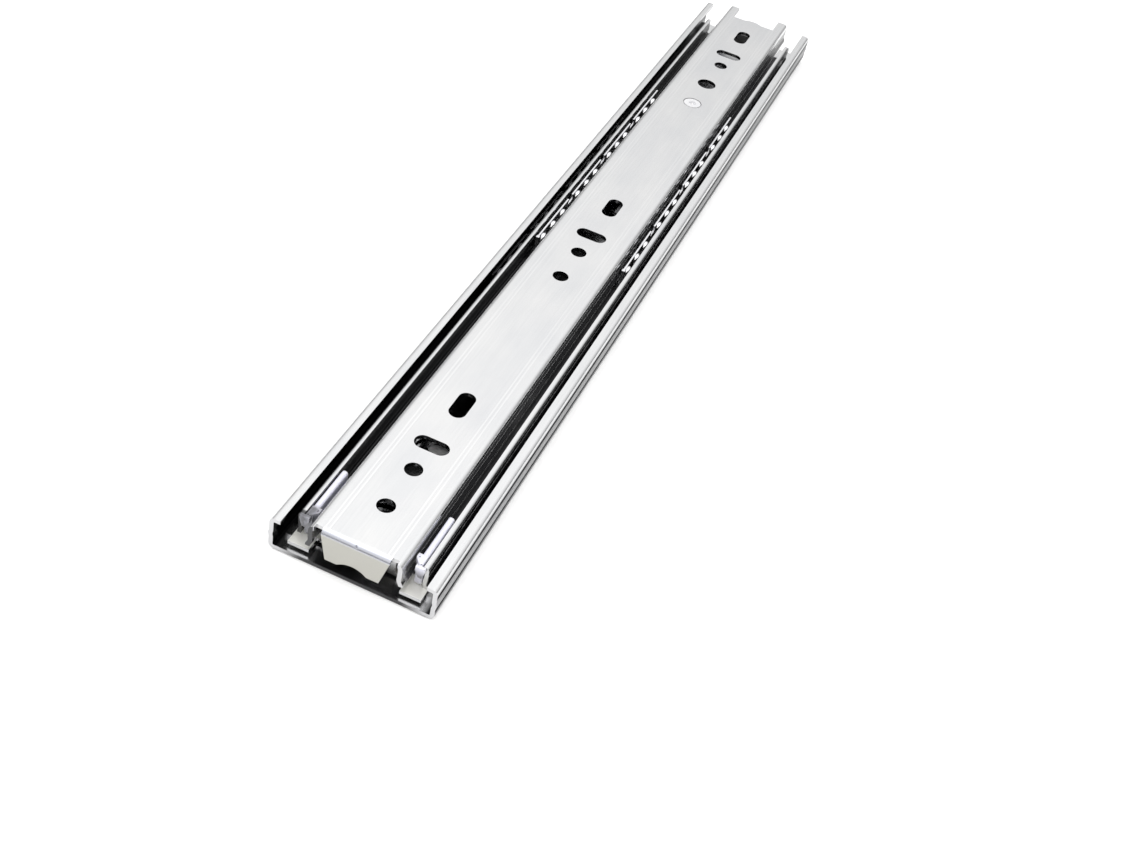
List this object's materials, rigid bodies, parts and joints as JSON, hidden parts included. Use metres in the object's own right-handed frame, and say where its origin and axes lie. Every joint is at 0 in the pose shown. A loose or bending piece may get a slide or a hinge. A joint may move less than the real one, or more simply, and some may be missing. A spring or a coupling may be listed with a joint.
{
  "type": "full-extension drawer slide",
  "caption": "Full-extension ball-bearing drawer slide: three nested steel channels that roll on caged balls, with a rear bumper and a disconnect lever.",
  "frame": {"origin": "centre of the closed slide's length and width, on the face that lies against the cabinet", "axes": "+X is the way the drawer opens, along the slide; +Y is across it; +Z points from the cabinet to the drawer"},
  "size_m": [0.35, 0.0464, 0.0127],
  "materials": {
    "plated_steel": "bright zinc plate",
    "cage_steel": "zinc plate",
    "ball_steel": "polished",
    "rivet_steel": "bright",
    "bumper_grey": "satin",
    "guide_nylon": "satin",
    "lever_plastic": "matte"
  },
  "bodies": {
    "cabinet_member": {"outer_member": "plated_steel", "rear_bumper": "bumper_grey"},
    "middle_member": {"intermediate_member": "plated_steel", "front_guide_left": "guide_nylon", "front_guide_right": "guide_nylon"},
    "drawer_member": {"inner_member": "plated_steel", "lever_rivet": "rivet_steel"},
    "outer_cage": {"outer_ball_retainer": "cage_steel", "outer_ball_left_01": "ball_steel", "outer_ball_left_02": "ball_steel", "outer_ball_left_03": "ball_steel", "outer_ball_left_04": "ball_steel", "outer_ball_left_05": "ball_steel", "outer_ball_left_06": "ball_steel", "outer_ball_left_07": "ball_steel", "outer_ball_left_08": "ball_steel", "outer_ball_left_09": "ball_steel", "outer_ball_left_10": "ball_steel", "outer_ball_left_11": "ball_steel", "outer_ball_left_12": "ball_steel", "outer_ball_right_01": "ball_steel", "outer_ball_right_02": "ball_steel", "outer_ball_right_03": "ball_steel", "outer_ball_right_04": "ball_steel", "outer_ball_right_05": "ball_steel", "outer_ball_right_06": "ball_steel", "outer_ball_right_07": "ball_steel", "outer_ball_right_08": "ball_steel", "outer_ball_right_09": "ball_steel", "outer_ball_right_10": "ball_steel", "outer_ball_right_11": "ball_steel", "outer_ball_right_12": "ball_steel"},
    "inner_cage": {"inner_ball_retainer": "cage_steel", "inner_ball_left_01": "ball_steel", "inner_ball_left_02": "ball_steel", "inner_ball_left_03": "ball_steel", "inner_ball_left_04": "ball_steel", "inner_ball_left_05": "ball_steel", "inner_ball_left_06": "ball_steel", "inner_ball_left_07": "ball_steel", "inner_ball_left_08": "ball_steel", "inner_ball_left_09": "ball_steel", "inner_ball_left_10": "ball_steel", "inner_ball_left_11": "ball_steel", "inner_ball_left_12": "ball_steel", "inner_ball_right_01": "ball_steel", "inner_ball_right_02": "ball_steel", "inner_ball_right_03": "ball_steel", "inner_ball_right_04": "ball_steel", "inner_ball_right_05": "ball_steel", "inner_ball_right_06": "ball_steel", "inner_ball_right_07": "ball_steel", "inner_ball_right_08": "ball_steel", "inner_ball_right_09": "ball_steel", "inner_ball_right_10": "ball_steel", "inner_ball_right_11": "ball_steel", "inner_ball_right_12": "ball_steel"},
    "lever": {"release_lever": "lever_plastic"}
  },
  "joints": [
    {"name": "middle_slide", "type": "slide", "parent": "cabinet_member", "child": "middle_member", "axis": [1, 0, 0], "range_m": [0, 0.175]},
    {"name": "drawer_slide", "type": "slide", "parent": "middle_member", "child": "drawer_member", "axis": [1, 0, 0], "range_m": [0, 0.175]},
    {"name": "outer_cage_slide", "type": "slide", "parent": "cabinet_member", "child": "outer_cage", "axis": [1, 0, 0], "range_m": [0, 0.0875]},
    {"name": "inner_cage_slide", "type": "slide", "parent": "middle_member", "child": "inner_cage", "axis": [1, 0, 0], "range_m": [0, 0.0875]},
    {"name": "lever_pivot", "type": "hinge", "parent": "drawer_member", "child": "lever", "pos_m": [-0.085, 0, 0.01], "axis": [0, 0, 1], "range_deg": [-4.5, 0], "stiffness_Nm_per_rad": 0.05}
  ],
  "couplings": [
    {"joint": "outer_cage_slide", "follows": "middle_slide", "ratio": 0.5},
    {"joint": "inner_cage_slide", "follows": "drawer_slide", "ratio": 0.5}
  ]
}
